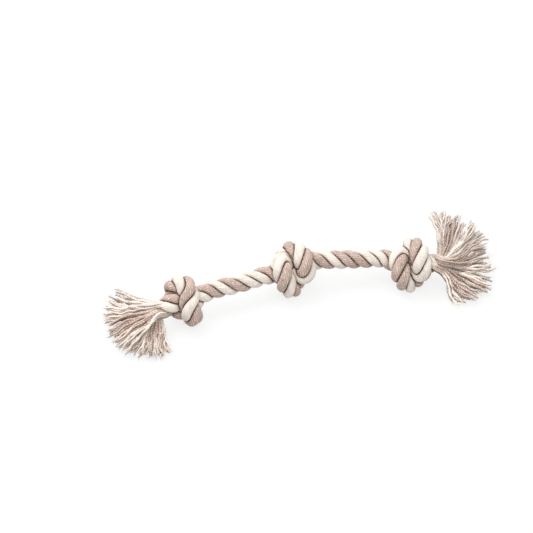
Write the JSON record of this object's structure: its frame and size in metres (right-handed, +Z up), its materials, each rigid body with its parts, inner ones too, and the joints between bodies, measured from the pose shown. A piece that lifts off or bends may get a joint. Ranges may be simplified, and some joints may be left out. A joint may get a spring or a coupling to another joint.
{
  "type": "rope dog toy",
  "caption": "Short cotton rope laid from twisted strands, tied in overhand knots along its length, with the strands unlaid into fanned tassels at both ends.",
  "frame": {"origin": "on the floor under the middle of the part's bounding box", "axes": "+X from the left end knot to the right end knot, along the toy's length; +Z up"},
  "size_m": [0.3337, 0.0903, 0.0432],
  "materials": {
    "cotton_a": "matt undyed cotton strand, cream with taupe yarns turning to the outside in places",
    "cotton_b": "matt dyed cotton strand, taupe with cream yarns turning to the outside in places",
    "cotton_c": "matt cotton strand of mixed cream and taupe yarns"
  },
  "bodies": {
    "middle_knot": {"strand_a_middle_knot": "cotton_a", "strand_b_middle_knot": "cotton_b", "strand_c_middle_knot": "cotton_c", "strand_a_left_inner_bend": "cotton_a", "strand_b_left_inner_bend": "cotton_b", "strand_c_left_inner_bend": "cotton_c", "strand_a_right_inner_bend": "cotton_a", "strand_b_right_inner_bend": "cotton_b", "strand_c_right_inner_bend": "cotton_c"},
    "left_run": {"strand_a_left_run": "cotton_a", "strand_b_left_run": "cotton_b", "strand_c_left_run": "cotton_c", "strand_a_left_outer_bend": "cotton_a", "strand_b_left_outer_bend": "cotton_b", "strand_c_left_outer_bend": "cotton_c"},
    "left_knot": {"strand_a_left_knot": "cotton_a", "strand_b_left_knot": "cotton_b", "strand_c_left_knot": "cotton_c", "strand_a_left_neck": "cotton_a", "strand_b_left_neck": "cotton_b", "strand_c_left_neck": "cotton_c"},
    "left_tassel": {"strand_a_left_tassel": "cotton_a", "strand_b_left_tassel": "cotton_b", "strand_c_left_tassel": "cotton_c"},
    "right_run": {"strand_a_right_run": "cotton_a", "strand_b_right_run": "cotton_b", "strand_c_right_run": "cotton_c", "strand_a_right_outer_bend": "cotton_a", "strand_b_right_outer_bend": "cotton_b", "strand_c_right_outer_bend": "cotton_c"},
    "right_knot": {"strand_a_right_knot": "cotton_a", "strand_b_right_knot": "cotton_b", "strand_c_right_knot": "cotton_c", "strand_a_right_neck": "cotton_a", "strand_b_right_neck": "cotton_b", "strand_c_right_neck": "cotton_c"},
    "right_tassel": {"strand_a_right_tassel": "cotton_a", "strand_b_right_tassel": "cotton_b", "strand_c_right_tassel": "cotton_c"}
  },
  "joints": [
    {"name": "left_rope_sway", "type": "hinge", "parent": "middle_knot", "child": "left_run", "pos_m": [-0.02682, 0.01706, 0.02075], "axis": [0, 0, 1], "range_deg": [-40, 40], "deforming": ["strand_a_left_inner_bend", "strand_b_left_inner_bend", "strand_c_left_inner_bend"]},
    {"name": "left_knot_lift", "type": "hinge", "parent": "left_run", "child": "left_knot", "pos_m": [-0.0723, 0.01055, 0.02009], "axis": [-0.1874, 0.9823, 0], "range_deg": [-45, 45], "deforming": ["strand_a_left_outer_bend", "strand_b_left_outer_bend", "strand_c_left_outer_bend"]},
    {"name": "left_tassel_flap", "type": "hinge", "parent": "left_knot", "child": "left_tassel", "pos_m": [-0.11575, -0.00102, 0.01894], "axis": [-0.1874, 0.9823, 0], "range_deg": [-20, 30], "deforming": ["strand_a_left_neck", "strand_b_left_neck", "strand_c_left_neck"]},
    {"name": "right_rope_sway", "type": "hinge", "parent": "middle_knot", "child": "right_run", "pos_m": [0.02329, 0.02172, 0.02489], "axis": [0, 0, 1], "range_deg": [-40, 40], "deforming": ["strand_a_right_inner_bend", "strand_b_right_inner_bend", "strand_c_right_inner_bend"]},
    {"name": "right_knot_lift", "type": "hinge", "parent": "right_run", "child": "right_knot", "pos_m": [0.07411, 0.01706, 0.02078], "axis": [-0.153, -0.9882, 0], "range_deg": [-45, 45], "deforming": ["strand_a_right_outer_bend", "strand_b_right_outer_bend", "strand_c_right_outer_bend"]},
    {"name": "right_tassel_flap", "type": "hinge", "parent": "right_knot", "child": "right_tassel", "pos_m": [0.11818, 0.00107, 0.02113], "axis": [-0.153, -0.9882, 0], "range_deg": [-20, 15], "deforming": ["strand_a_right_neck", "strand_b_right_neck", "strand_c_right_neck"]}
  ]
}
